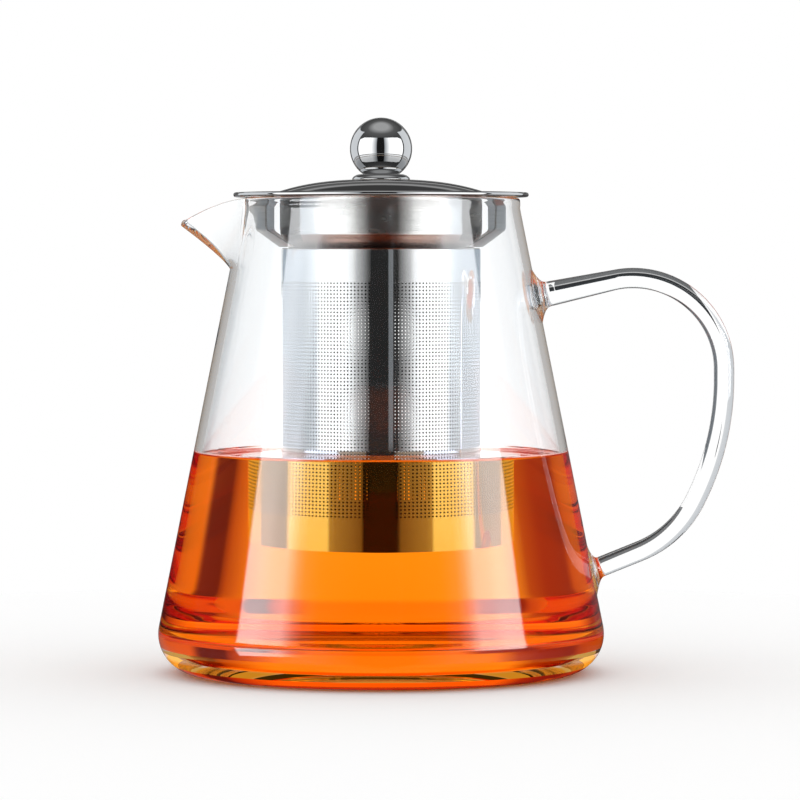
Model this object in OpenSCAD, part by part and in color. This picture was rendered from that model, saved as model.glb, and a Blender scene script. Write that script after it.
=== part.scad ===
// Glass teapot with a lift-out steel infuser and a lid.
// Millimetres. The origin is the centre of the glass foot, on the table; +Z is up.
// The spout points along -X and the handle along +X.

/* [Glass body] */
// Height of the glass mouth above the table
mouth_height = 133; // [118:1:150]
// Outer radius of the mouth
mouth_radius = 38.4; // [36.5:0.1:44]
// Widest outer radius, just above the foot
belly_radius = 62.5; // [56:0.1:72]
// Radius of the rounded corner round the foot
foot_round = 11; // [7:0.5:14]
// Thickness of the blown wall
glass_wall = 2.2; // [1.6:0.1:3]
// Thickness of the glass floor
glass_floor = 4; // [2.5:0.1:6]
// Radius of the corner inside the foot
inner_round = 8; // [5:0.5:11]
// Rounding on each edge of the fire-polished mouth
mouth_round = 0.8; // [0.3:0.1:1]

/* [Spout] */
// How far the tip of the pulled lip stands out past the mouth
spout_reach = 17.3; // [12:0.1:22]
// How far the lip has dropped below the mouth at its tip
spout_drop = 7.6; // [5:0.1:10]
// Outer radius of the lip's rounded tip
spout_tip_radius = 2.9; // [2.5:0.1:4]
// Angle at which each side of the lip opens towards the mouth
spout_flare = 30; // [22:1:36]
// Slope of the lip's centre line, which climbs towards the tip
spout_tilt = 8; // [0:1:16]
// Bend radius of the lip's upper edge, seen from the side
spout_edge_bend = 44; // [30:1:80]

/* [Handle] */
// Radius of the glass rod
rod_radius = 2.85; // [2.2:0.05:3.4]
// Radius of the rod where it meets the upper weld
rod_root_radius = 3.5; // [3:0.1:4.2]
// How far the rod's centre line stands out past the belly
handle_gap = 33.6; // [26:0.1:44]
// How far the top of the handle's centre line lies below the mouth
handle_drop = 22.5; // [18:0.1:32]
// Bend radius over the top of the handle
top_bend = 25.5; // [20:0.5:30]
// Bend radius down the side of the handle
side_bend = 75; // [60:1:95]
// Bend radius at the bottom of the handle
low_bend = 29.5; // [24:0.5:36]
// Straight length between the top bend and the side bend
side_straight = 3; // [1:0.5:10]
// Angle through which the side bend turns
side_turn = 27; // [20:1:34]
// Slope of the upper arm as it leaves the body
upper_slope = 12; // [4:1:20]
// Slope of the lower arm as it leaves the body
lower_slope = 22; // [14:1:34]

/* [Handle welds] */
// Radius of the flattened glass round each weld
gather_radius = 7.6; // [6:0.1:9]
// Height of that glass above the wall
gather_height = 1.2; // [0.8:0.1:2]
// Length of the upper weld, from the wall to the rod
upper_weld_length = 4; // [3:0.1:6]
// Length of the lower weld, from the wall to the rod
lower_weld_length = 3.4; // [2.6:0.1:6]

/* [Infuser] */
// Thickness of the sheet steel
sheet = 0.5; // [0.3:0.1:0.8]
// Room between the strainer cup and the inside of the mouth
neck_gap = 8.2; // [6:0.1:11]
// Depth of the strainer cup
cup_depth = 84.3; // [60:1:92]
// Width of the welded seam down the cup
seam_width = 5.5; // [3:0.5:9]
// How much the seam stands out of the cup wall
seam_height = 0.2; // [0.1:0.05:0.4]
// Height of the turned-up edge of the cup's floor
floor_edge = 3; // [2:0.5:6]
// Height of the brushed collar band
collar_height = 10.6; // [8:0.1:16]
// How much wider the collar is than the cup
collar_step = 0.3; // [0.1:0.1:1]
// Height of the taper between the collar and the cup
taper_height = 3.8; // [2.5:0.1:6]
// How far the taper draws in
taper_inset = 2.5; // [1.5:0.1:3.5]
// How far the collar's spigot reaches into the cup
spigot_depth = 3; // [2:0.5:8]
// How far the rim ring stands out past the glass mouth
rim_overhang = 2.9; // [1:0.1:4]
// Radius of the rolled bead round the rim ring
rim_bead = 0.65; // [0.5:0.05:0.9]

/* [Springs] */
// Air between each spring and the inside of the mouth
spring_gap = 1.3; // [0.8:0.1:2.5]
// Half of each spring's width
spring_half_width = 15.5; // [9:0.5:18]
// Height of the spring's upright part
spring_upright = 7.4; // [5:0.1:10]
// How far the spring's top stands in from its upright part
spring_crease = 1.4; // [0.5:0.1:2.5]
// Length of the tab that is welded under the rim ring
spring_tab = 3; // [2:0.1:4.5]

/* [Lid] */
// How far the lid laps over the rim ring
lid_overlap = 3.7; // [2:0.1:6]
// Width of the lid's flat border
lid_border = 1.5; // [1:0.1:3]
// Height of the lid's dome above its border
dome_rise = 3.9; // [2.5:0.1:7]
// Depth of the skirt below the rim ring
skirt_depth = 7; // [4:0.5:9]
// Running gap between the skirt and the collar
skirt_gap = 0.35; // [0.2:0.05:0.8]

/* [Knob] */
// Radius of the knob's ball
ball_radius = 8.7; // [6:0.1:12]
// Outer radius of the ring under the ball
knob_ring_radius = 8.1; // [6.5:0.1:11]
// Thickness of the ring under the ball
knob_ring_height = 1.4; // [1:0.1:3]
// Radius of the ball's flat seat on the ring
knob_seat_radius = 5; // [3.5:0.1:5.5]
// Radius of the screw that holds the knob
screw_radius = 2; // [1.5:0.1:2.4]
// Length of screw inside the ball
screw_reach = 7; // [4:0.5:9]
// Radius of the screw's head
screw_head_radius = 3.6; // [3:0.1:4.5]
// Height of the screw's head
screw_head_height = 1.8; // [1.2:0.1:2.4]

/* [Hidden] */

$fn = 180;
// Air left where a loose piece rests on the one below it
seat_gap = 0.1;
// Air round a screw or a plug inside its hole
fit_gap = 0.05;
// Overrun that carries a cut clear of the face it passes through
cut = 1;
// How far, and how much thinner, one length of the handle runs inside the next
rod_overlap = 0.4;
rod_step = 0.01;

glass_colour = [0.86, 0.93, 0.95, 0.35];
polished_colour = [0.78, 0.79, 0.80];
brushed_colour = [0.70, 0.70, 0.69];

// ---- Glass wall: a straight line from the mouth, tangent to the foot's corner ----
mouth_inner_radius = mouth_radius - glass_wall;
foot_centre = [belly_radius - foot_round, foot_round];
wall_top = [mouth_radius, mouth_height - mouth_round];
foot_to_top = wall_top - foot_centre;
foot_to_top_angle = atan2(foot_to_top[1], foot_to_top[0]);
// Angle of the wall's outward normal above the horizontal
wall_lean = foot_to_top_angle - acos(foot_round / norm(foot_to_top));
wall_slope = tan(wall_lean);

function wall_radius(z) = mouth_radius + wall_slope * (wall_top[1] - z);
function turn(angle) = [cos(angle), sin(angle)];
// Points along an arc, both ends included
function arc(centre, radius, from, to, steps) =
    [for (i = [0:steps]) centre + radius * turn(from + (to - from) * i / steps)];

outer_profile = concat(
    [[0, 0]],
    arc(foot_centre, foot_round, -90, wall_lean, 24),
    arc([mouth_radius - mouth_round, mouth_height - mouth_round], mouth_round, 0, 90, 6),
    [[0, mouth_height]]);

// The cavity's corner rounds the floor into the wall, one wall thickness inside
inner_lean_x = cos(wall_lean);
cavity_wall = glass_wall / inner_lean_x;
function cavity_radius(z) = wall_radius(z) - cavity_wall;
inner_centre_z = glass_floor + inner_round;
inner_centre = [cavity_radius(inner_centre_z) - inner_round / inner_lean_x, inner_centre_z];
cavity_profile = concat(
    [[0, glass_floor]],
    arc(inner_centre, inner_round, -90, wall_lean, 16),
    [[cavity_radius(mouth_height - mouth_round), mouth_height - mouth_round]],
    arc([cavity_radius(mouth_height - mouth_round) + mouth_round, mouth_height - mouth_round],
        mouth_round, 180, 90, 6),
    [[cavity_radius(mouth_height) + mouth_round, mouth_height + cut], [0, mouth_height + cut]]);

// ---- Spout: half a cone with a ball tip below, straight sides above, cut to a falling edge ----
spout_tip = [-(mouth_radius + spout_reach - spout_tip_radius), mouth_height - spout_drop];
spout_length = spout_reach + 5;
spout_edge_root = [-mouth_radius, mouth_height - mouth_round / 2];
spout_edge_tip = spout_tip + spout_tip_radius * [-0.9, 0.4];
spout_edge_chord = spout_edge_tip - spout_edge_root;
spout_edge_rise = sqrt(pow(spout_edge_bend, 2) - pow(norm(spout_edge_chord) / 2, 2));
spout_edge_centre = (spout_edge_root + spout_edge_tip) / 2
    + spout_edge_rise / norm(spout_edge_chord) * [-spout_edge_chord[1], spout_edge_chord[0]];

// inset is the wall taken off all round, and height is how far the sides stand up
module spout_form(inset, height) {
    radius = spout_tip_radius - inset;
    half = concat(
        arc([0, 0], radius, -90, -spout_flare, 8),
        [[(radius + spout_length * sin(spout_flare)) / cos(spout_flare), spout_length],
         [0, spout_length]]);
    outline = concat([for (p = half) [p[1], p[0]]],
                     [for (i = [len(half) - 2:-1:1]) [half[i][1], -half[i][0]]]);
    translate([spout_tip[0], 0, spout_tip[1]])
    rotate([0, spout_tilt, 0])
    union() {
        rotate([0, 90, 0]) rotate([0, 0, -90]) rotate_extrude(angle = 180) polygon(half);
        linear_extrude(height = height) polygon(outline);
    }
}

// Everything below the lip's falling edge
module below_spout_edge() {
    translate([spout_edge_centre[0], 0, spout_edge_centre[1]])
    rotate([90, 0, 0])
    cylinder(h = 2 * mouth_radius, r = spout_edge_bend, center = true);
}

module glass_outer() {
    rotate_extrude() polygon(outer_profile);
}

module glass_body() {
    color(glass_colour)
    difference() {
        union() {
            glass_outer();
            intersection() {
                spout_form(0, spout_drop + cut);
                below_spout_edge();
            }
        }
        rotate_extrude() polygon(cavity_profile);
        spout_form(glass_wall, 2 * spout_drop);
    }
}

// ---- Handle: a round rod bent in the XZ plane ----
handle_reach = belly_radius + handle_gap;
top_centre = [handle_reach - top_bend, mouth_height - handle_drop - top_bend];
side_centre = [handle_reach - side_bend, top_centre[1] - side_straight];
side_end = side_centre + side_bend * turn(-side_turn);
low_centre = side_end - low_bend * turn(-side_turn);
low_end_angle = -(90 - lower_slope);
low_end = low_centre + low_bend * turn(low_end_angle);
top_start_angle = 90 + upper_slope;
top_start = top_centre + top_bend * turn(top_start_angle);

// Distance from a point to the glass wall, going inwards and down at the given slope
function way_to_wall(point, slope) =
    (point[0] - wall_radius(point[1])) / (cos(slope) + wall_slope * sin(slope));
upper_way = way_to_wall(top_start, upper_slope);
lower_way = way_to_wall(low_end, lower_slope);
upper_foot = top_start - upper_way * turn(upper_slope);
lower_foot = low_end - lower_way * turn(lower_slope);

// Turns a shape that stands on Z so that it leaves a point of the XZ plane at a slope
module along_arm(point, slope) {
    translate([point[0], 0, point[1]]) rotate([0, 90 - slope, 0]) children();
}

// Every other length of rod is a hair thinner and runs a little way into its neighbours
module bent_rod(centre, bend, from, to, radius, overlap) {
    extra = overlap / bend * 180 / PI;
    translate([centre[0], 0, centre[1]])
    rotate([90, 0, 0])
    rotate([0, 0, from - extra])
    rotate_extrude(angle = to - from + 2 * extra)
    translate([bend, 0]) circle(r = radius, $fn = 48);
}

module handle() {
    thin = rod_radius - rod_step;
    color(glass_colour)
    union() {
        along_arm(upper_foot, upper_slope)
        translate([0, 0, upper_weld_length])
        cylinder(h = upper_way - upper_weld_length + rod_overlap,
                 r1 = rod_root_radius, r2 = rod_radius - 5 * rod_step, $fn = 48);
        bent_rod(top_centre, top_bend, 0, top_start_angle, rod_radius, 0);
        translate([handle_reach, 0, side_centre[1] - rod_overlap])
        cylinder(h = side_straight + 2 * rod_overlap, r = thin, $fn = 48);
        bent_rod(side_centre, side_bend, -side_turn, 0, rod_radius, 0);
        bent_rod(low_centre, low_bend, low_end_angle, -side_turn, thin, rod_overlap);
        along_arm(lower_foot, lower_slope)
        translate([0, 0, lower_weld_length])
        cylinder(h = lower_way - lower_weld_length, r = rod_radius, $fn = 48);
    }
}

// Flattened glass on the wall, drawn up in a fillet to the rod
module weld_form(length, end_radius) {
    buried = gather_radius / 2;
    fillet = gather_radius - end_radius;
    rise = length * 0.85;
    flare = [for (i = [0:10])
        let (u = i / 10)
        [end_radius + fillet * pow(1 - u, 2.4), (rise - gather_height * 0.2) * u + gather_height * 0.2 - 0.5]];
    rotate_extrude($fn = 64)
    polygon(concat([[0, -buried], [gather_radius, -buried]], flare,
                   [[end_radius, length], [0, length]]));
}

module upper_handle_weld() {
    color(glass_colour)
    difference() {
        along_arm(upper_foot, upper_slope) weld_form(upper_weld_length, rod_root_radius);
        glass_outer();
    }
}

module lower_handle_weld() {
    color(glass_colour)
    difference() {
        along_arm(lower_foot, lower_slope) weld_form(lower_weld_length, rod_radius);
        glass_outer();
    }
}

// ---- Infuser: rim ring on the mouth, collar, cup and floor below it ----
cup_radius = mouth_inner_radius - neck_gap;
rim_bottom = mouth_height + seat_gap;
rim_top = rim_bottom + sheet;
rim_radius = mouth_radius + rim_overhang;
collar_radius = cup_radius + collar_step;
collar_inner_radius = collar_radius - sheet;
collar_bottom = rim_bottom - collar_height;
spigot_radius = collar_radius - taper_inset;
cup_top = collar_bottom - taper_height;
cup_bottom = cup_top - cup_depth;

module infuser_rim() {
    color(polished_colour)
    union() {
        translate([0, 0, rim_bottom])
        difference() {
            cylinder(h = sheet, r = rim_radius - rim_bead);
            translate([0, 0, -cut]) cylinder(h = sheet + 2 * cut, r = collar_inner_radius);
        }
        rotate_extrude() translate([rim_radius - rim_bead, rim_bottom + rim_bead])
        circle(r = rim_bead, $fn = 24);
    }
}

module infuser_collar() {
    taper_end = cup_top;
    color(brushed_colour)
    rotate_extrude()
    polygon([
        [collar_inner_radius, rim_bottom],
        [collar_radius, rim_bottom],
        [collar_radius, collar_bottom],
        [spigot_radius, taper_end],
        [spigot_radius, taper_end - spigot_depth],
        [spigot_radius - sheet, taper_end - spigot_depth],
        [spigot_radius - sheet, taper_end + sheet / 2],
        [collar_inner_radius, collar_bottom + sheet / 2]]);
}

module infuser_cup() {
    seam_angle = 2 * asin(seam_width / 2 / cup_radius);
    color(polished_colour)
    union() {
        rotate_extrude()
        polygon([
            [cup_radius - sheet, cup_bottom],
            [cup_radius, cup_bottom],
            [cup_radius, cup_top],
            [spigot_radius + fit_gap, cup_top],
            [spigot_radius + fit_gap, cup_top - sheet],
            [cup_radius - sheet, cup_top - sheet]]);
        rotate([0, 0, -90 - seam_angle / 2])
        rotate_extrude(angle = seam_angle)
        translate([cup_radius - sheet / 2, cup_bottom])
        square([sheet / 2 + seam_height, cup_depth]);
    }
}

module infuser_bottom() {
    plug_radius = cup_radius - sheet - fit_gap;
    color(polished_colour)
    rotate_extrude()
    polygon([
        [0, cup_bottom],
        [plug_radius, cup_bottom],
        [plug_radius, cup_bottom + floor_edge],
        [plug_radius - sheet, cup_bottom + floor_edge],
        [plug_radius - sheet, cup_bottom + sheet],
        [0, cup_bottom + sheet]]);
}

// ---- Springs: sheet strips that bulge towards the glass neck ----
spring_radius = mouth_inner_radius - spring_gap;
spring_top_radius = spring_radius - spring_crease;
spring_crease_z = rim_bottom - 2.6;
spring_corner_z = spring_crease_z - spring_upright;
spring_end = [spigot_radius + taper_inset * 0.9, cup_top + sheet / 2];
spring_corner_round = 1.5;
// The strip's lower part runs straight from its rounded corner to the cup
spring_corner_turn = 55;

module spring(side) {
    corner = [spring_radius, spring_corner_z] + spring_corner_round * [-1, 1];
    outside = concat(
        [[spring_top_radius - spring_tab, rim_bottom], [spring_top_radius, rim_bottom],
         [spring_radius, spring_crease_z]],
        arc(corner, spring_corner_round, 0, -spring_corner_turn, 5),
        [spring_end + [sheet, 0]]);
    inside = concat(
        [spring_end + [0, sheet * 0.7]],
        arc(corner, spring_corner_round - sheet, -spring_corner_turn, 0, 5),
        [[spring_radius - sheet, spring_crease_z],
         [spring_top_radius - sheet, rim_bottom - sheet],
         [spring_top_radius - spring_tab, rim_bottom - sheet]]);
    color(polished_colour)
    intersection() {
        rotate_extrude() polygon(concat(outside, inside));
        translate([side > 0 ? 0 : -rim_radius, -spring_half_width, cup_top])
        cube([rim_radius, 2 * spring_half_width, rim_radius]);
    }
}

module spout_side_spring() { spring(-1); }
module handle_side_spring() { spring(1); }

// ---- Lid: domed cover, skirt and a ball knob held by a screw from below ----
lid_bottom = rim_top + seat_gap;
lid_top = lid_bottom + sheet;
lid_radius = collar_inner_radius + lid_overlap;
skirt_radius = collar_inner_radius - skirt_gap;
// Sphere through the dome's edge and its apex
dome_edge = lid_radius - lid_border;
dome_radius = (pow(dome_edge, 2) + pow(dome_rise, 2)) / (2 * dome_rise);
dome_apex = lid_top + dome_rise;
dome_centre_z = dome_apex - dome_radius;
screw_hole_radius = screw_radius + fit_gap;

function dome_height(r) = dome_centre_z + sqrt(pow(dome_radius, 2) - pow(r, 2));

// Points along the dome, from one radius to another
function dome_line(from, to, steps) =
    [for (i = [0:steps]) let (r = from + (to - from) * i / steps) [r, dome_height(r)]];

module lid_cover() {
    color(polished_colour)
    rotate_extrude()
    polygon(concat(
        dome_line(screw_hole_radius, dome_edge, 16),
        [[lid_radius, lid_top], [lid_radius, lid_bottom]],
        [for (p = dome_line(dome_edge, screw_hole_radius, 16)) p - [0, sheet]]));
}

module lid_skirt() {
    inside = skirt_radius - sheet;
    color(brushed_colour)
    rotate_extrude()
    polygon([
        [inside, rim_bottom - skirt_depth],
        [skirt_radius, rim_bottom - skirt_depth],
        [skirt_radius, dome_height(skirt_radius) - sheet],
        [inside, dome_height(inside) - sheet]]);
}

ring_top = dome_apex + knob_ring_height;
ball_centre_z = ring_top + sqrt(pow(ball_radius, 2) - pow(knob_seat_radius, 2));

module knob_ring() {
    edge = (ring_top - dome_height(knob_ring_radius)) / 2;
    edge_centre = [knob_ring_radius - edge, ring_top - edge];
    color(polished_colour)
    rotate_extrude()
    polygon(concat(
        dome_line(screw_hole_radius, edge_centre[0], 8),
        arc(edge_centre, edge, -80, 90, 10),
        [[screw_hole_radius, ring_top]]));
}

module knob_ball() {
    color(polished_colour)
    difference() {
        translate([0, 0, ball_centre_z]) sphere(r = ball_radius);
        translate([0, 0, ring_top - ball_radius]) cylinder(h = ball_radius, r = ball_radius);
        translate([0, 0, ring_top - cut]) cylinder(h = screw_reach + fit_gap + cut, r = screw_hole_radius);
    }
}

module knob_screw() {
    head_top = dome_height(screw_head_radius) - sheet;
    color(polished_colour)
    union() {
        translate([0, 0, head_top - screw_head_height])
        cylinder(h = screw_head_height, r = screw_head_radius, $fn = 48);
        translate([0, 0, head_top - screw_head_height / 2])
        cylinder(h = ring_top + screw_reach - head_top + screw_head_height / 2, r = screw_radius, $fn = 48);
    }
}

glass_body();
handle();
upper_handle_weld();
lower_handle_weld();
infuser_rim();
infuser_collar();
infuser_cup();
infuser_bottom();
spout_side_spring();
handle_side_spring();
lid_cover();
lid_skirt();
knob_ring();
knob_ball();
knob_screw();
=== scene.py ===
"""Looks of a glass teapot with a lift-out steel infuser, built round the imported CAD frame.

Lengths are in millimetres until mesh_piece() turns them into metres. The axis of the body is Z,
the spout points along -X and the handle along +X.
"""
import math

import bpy
import bmesh
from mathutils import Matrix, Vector


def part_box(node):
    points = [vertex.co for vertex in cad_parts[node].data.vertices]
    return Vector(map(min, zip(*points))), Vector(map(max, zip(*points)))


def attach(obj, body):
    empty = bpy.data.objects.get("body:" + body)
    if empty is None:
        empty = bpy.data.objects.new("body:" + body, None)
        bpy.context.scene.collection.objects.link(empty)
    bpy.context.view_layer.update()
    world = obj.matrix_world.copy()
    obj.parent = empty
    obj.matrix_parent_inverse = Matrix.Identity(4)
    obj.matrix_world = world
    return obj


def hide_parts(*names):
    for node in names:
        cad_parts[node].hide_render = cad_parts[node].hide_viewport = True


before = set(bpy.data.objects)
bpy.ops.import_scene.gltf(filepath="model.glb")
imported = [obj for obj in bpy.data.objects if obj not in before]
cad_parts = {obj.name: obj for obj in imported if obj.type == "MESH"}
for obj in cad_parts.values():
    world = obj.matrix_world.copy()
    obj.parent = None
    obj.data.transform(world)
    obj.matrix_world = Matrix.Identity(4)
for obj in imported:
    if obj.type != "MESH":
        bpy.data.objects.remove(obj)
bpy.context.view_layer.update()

MM = 0.001

# ---- Camera: straight from the front, a little below the lid ----
LENS = 198.0
CAMERA_PLACE = (5.3, -1232.0, 118.6)
CAMERA_PITCH = 1.965


def make_camera():
    data = bpy.data.cameras.new("camera")
    data.lens = LENS
    data.sensor_width = 36.0
    camera = bpy.data.objects.new("camera", data)
    camera.location = [c * MM for c in CAMERA_PLACE]
    camera.rotation_euler = (math.radians(90 - CAMERA_PITCH), 0, 0)
    bpy.context.scene.collection.objects.link(camera)
    bpy.context.scene.camera = camera


make_camera()


# ---- Sizes taken from the frame ----
def round_mm(node):
    """Radius, lowest and highest height of a round piece."""
    low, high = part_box(node)
    return high[0] / MM, low[2] / MM, high[2] / MM


glass_low, glass_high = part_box("glass_body")
CUP_RADIUS, CUP_BOTTOM, CUP_TOP = round_mm("infuser_cup")
_, _, PLUG_TOP = round_mm("infuser_bottom")
COLLAR_RADIUS, _, RIM_BOTTOM = round_mm("infuser_collar")
RIM_RADIUS, _, _ = round_mm("infuser_rim")
LID_RADIUS, LID_BOTTOM, _ = round_mm("lid_cover")
SKIRT_RADIUS, SKIRT_LOW, _ = round_mm("lid_skirt")
RING_RADIUS, _, RING_TOP = round_mm("knob_ring")
BALL_RADIUS, _, BALL_TOP = round_mm("knob_ball")
SCREW_HEAD, SCREW_LOW, SCREW_TOP = round_mm("knob_screw")

# ---- Glass body ----
MOUTH_Z = glass_high[2] / MM
MOUTH_RADIUS = 38.4
BELLY_RADIUS = -glass_low[0] / MM
FOOT_ROUND = 11.0
WALL = 2.2
FLOOR = 4.0
FLOOR_LIGHT = 2.5          # up to here over the floor the thick base is lit by the tea
INNER_ROUND = 8.0
MOUTH_ROUND = 0.8
BEAD_SWELL = 0.45          # how far the fire-polished edge stands out
BEAD_HEIGHT = 2.2
FOOT_HOLLOW = 0.5          # how far the middle of the underside is hollowed
HOLLOW_SHARE = 0.92        # and over what share of its flat radius

# ---- Spout ----
SPOUT_TIP = MOUTH_RADIUS + 17.3  # radius of the lip's tip
SPOUT_TIP_ROUND = 2.9
SPOUT_FLARE = 30.0
SPOUT_SPAN = 60.0          # degrees to each side where the mouth leaves its circle
SPOUT_ROOT_Z = 113.0
SPOUT_DROP = 7.3
SPOUT_BLEND = 1.6

# ---- Handle ----
ROD = 2.85
ROD_ROOT = 3.5
HANDLE_REACH = BELLY_RADIUS + 33.6
TOP_BEND, SIDE_BEND, LOW_BEND = 25.5, 75.0, 29.5
SIDE_STRAIGHT, SIDE_TURN = 3.0, 27.0
UPPER_SLOPE, LOWER_SLOPE = 12.0, 22.0
HANDLE_TOP = MOUTH_Z - 22.5
GATHER = 7.6
UPPER_WELD, LOWER_WELD = 4.0, 3.4
ROD_FITTED = 3.0           # over this length its ends turn from round to the wall's own curve
ROD_SUNK = 0.5             # how far its ends go into the wall and close there

# ---- Infuser ----
SHEET = 0.5
SPIGOT_RADIUS = 25.8
SEAM_AT = -89.2            # degrees round the axis; the camera is at -90
SEAM_WIDTH = 5.5
SEAM_HEIGHT = 0.2
HOLE_PITCH = 1.0
HOLE_RADIUS = 0.27
HOLES_TOP = 109.6
HOLE_ROWS = 66
FIT_GAP = 0.05             # room between pieces that fit into one another
PLUG_RADIUS = CUP_RADIUS - SHEET - FIT_GAP   # of the cup's floor
COLLAR_STEP = 0.12
COLLAR_BOTTOM = RIM_BOTTOM - 10.6
SPIGOT_DEPTH = 3.0
RIM_BEAD = 0.65

# ---- Springs ----
SPRING_RADIUS = MOUTH_RADIUS - WALL - 1.3
SPRING_TOP_RADIUS = SPRING_RADIUS - 1.4
SPRING_HALF_WIDTH = 15.5
SPRING_CREASE_Z = RIM_BOTTOM - 2.6
SPRING_CORNER_Z = SPRING_CREASE_Z - 7.4
SPRING_THICK = 0.4
SPRING_ROUND = 1.5
SPRING_TAB = 2.9           # how far its top runs in under the rim
SPRING_END_RADIUS = SPIGOT_RADIUS + 2.25
SPRING_ACROSS = 25         # rows of verts across it

# ---- Lid and knob ----
LID_TOP = LID_BOTTOM + SHEET
DOME_EDGE = LID_RADIUS - 1.5
DOME_RISE = RING_TOP - 1.4 - LID_TOP
DOME_POWER = 2.7           # nearly flat round the knob, and steeper towards the edge
BALL_CENTRE = BALL_TOP - BALL_RADIUS
BALL_SEAT = 5.0
SCREW_HOLE = 2.05
SCREW_SHANK = 2.0
SCREW_HOLE_DEPTH = 7.05

# ---- Tea ----
TEA_LEVEL = 60.7
TEA_GAP = 0.03             # hair of room between the tea's mesh and the glass
TEA_CLIMB = 1.3            # how far the tea climbs the glass at its edge
TEA_CLIMB_WIDTH = 1.1


# ---- Shape helpers ----
def turn(degrees, length=1.0):
    a = math.radians(degrees)
    return length * math.cos(a), length * math.sin(a)


def arc(centre, radius, start, end, steps):
    points = []
    for i in range(steps + 1):
        c, s = turn(start + (end - start) * i / steps, radius)
        points.append((centre[0] + c, centre[1] + s))
    return points


def mesh_piece(name, verts, faces, sharp=40.0):
    """A mesh object whose verts are in millimetres, smooth but for edges sharper than that angle."""
    mesh = bpy.data.meshes.new(name)
    mesh.from_pydata([(x * MM, y * MM, z * MM) for x, y, z in verts], [], faces)
    bm = bmesh.new()
    bm.from_mesh(mesh)
    bmesh.ops.remove_doubles(bm, verts=bm.verts, dist=1e-7)
    bmesh.ops.recalc_face_normals(bm, faces=bm.faces)
    bm.to_mesh(mesh)
    bm.free()
    mesh.shade_smooth()
    if sharp:
        mesh.set_sharp_from_angle(angle=math.radians(sharp))
    piece = bpy.data.objects.new(name, mesh)
    bpy.context.scene.collection.objects.link(piece)
    return piece


def skin(rows):
    """Faces between neighbouring rows of vert numbers, each row a ring; a ring may be one point."""
    faces = []
    for a, b in zip(rows, rows[1:]):
        for i in range(len(a)):
            j = (i + 1) % len(a)
            corners = list(dict.fromkeys((a[i], a[j], b[j], b[i])))
            if len(corners) > 2:
                faces.append(corners)
    return faces


def radius_and_height(face):
    x, y, z = (c / MM for c in face.center)
    return math.hypot(x, y), z


def revolve(profile, columns, closed=True):
    """Verts and faces of a profile of (radius, height) turned about Z."""
    verts, rows = [], []
    for r, z in profile:
        if r < 1e-6:
            rows.append([len(verts)] * columns)
            verts.append((0.0, 0.0, z))
        else:
            rows.append(list(range(len(verts), len(verts) + columns)))
            for i in range(columns):
                c, s = turn(360 * i / columns, r)
                verts.append((c, s, z))
    return verts, skin(rows + rows[:1] if closed else rows)


# ---- Wall of the glass body ----
foot_centre = (BELLY_RADIUS - FOOT_ROUND, FOOT_ROUND)
wall_top = (MOUTH_RADIUS, MOUTH_Z - MOUTH_ROUND)
to_top = (wall_top[0] - foot_centre[0], wall_top[1] - foot_centre[1])
WALL_LEAN = math.degrees(math.atan2(to_top[1], to_top[0])
                         - math.acos(FOOT_ROUND / math.hypot(*to_top)))
WALL_SLOPE = math.tan(math.radians(WALL_LEAN))
CAVITY_WALL = WALL / math.cos(math.radians(WALL_LEAN))


def wall_radius(z):
    return MOUTH_RADIUS + WALL_SLOPE * (wall_top[1] - z)


def cavity_corner(radius, start, end, steps):
    """An arc round the centre of the cavity's rounded corner."""
    z = FLOOR + INNER_ROUND
    reach = wall_radius(z) - CAVITY_WALL - INNER_ROUND / math.cos(math.radians(WALL_LEAN))
    return arc((reach, z), radius, start, end, steps)


def smooth_max(a, b, k):
    return 0.5 * (a + b + math.sqrt((a - b) ** 2 + k * k))


def lip_radius(degrees):
    """Plan radius of the mouth's outer edge, at an angle from the spout's middle."""
    a = math.radians(abs(degrees))
    flare = math.radians(SPOUT_FLARE)
    middle = SPOUT_TIP - SPOUT_TIP_ROUND
    apex = middle + SPOUT_TIP_ROUND / math.sin(flare)
    if abs(degrees) > SPOUT_SPAN:
        return MOUTH_RADIUS
    side = apex * math.sin(flare) / math.sin(flare + a)
    reach = SPOUT_TIP_ROUND ** 2 - (middle * math.sin(a)) ** 2
    touch_x = middle + SPOUT_TIP_ROUND * math.sin(flare)
    touch_y = SPOUT_TIP_ROUND * math.cos(flare)
    if a < math.atan2(touch_y, touch_x) and reach > 0:
        side = middle * math.cos(a) + math.sqrt(reach)
    blended = smooth_max(side, MOUTH_RADIUS, SPOUT_BLEND * 2)
    tip = smooth_max(SPOUT_TIP, MOUTH_RADIUS, SPOUT_BLEND * 2) - SPOUT_TIP
    side_share = min(1.0, max(0.0, (side - MOUTH_RADIUS) / (SPOUT_TIP - MOUTH_RADIUS)))
    fade = max(0.0, 1 - abs(degrees) / SPOUT_SPAN) ** 0.5 if side < MOUTH_RADIUS else 1.0
    return MOUTH_RADIUS + (blended - MOUTH_RADIUS - tip * side_share) * fade


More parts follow.
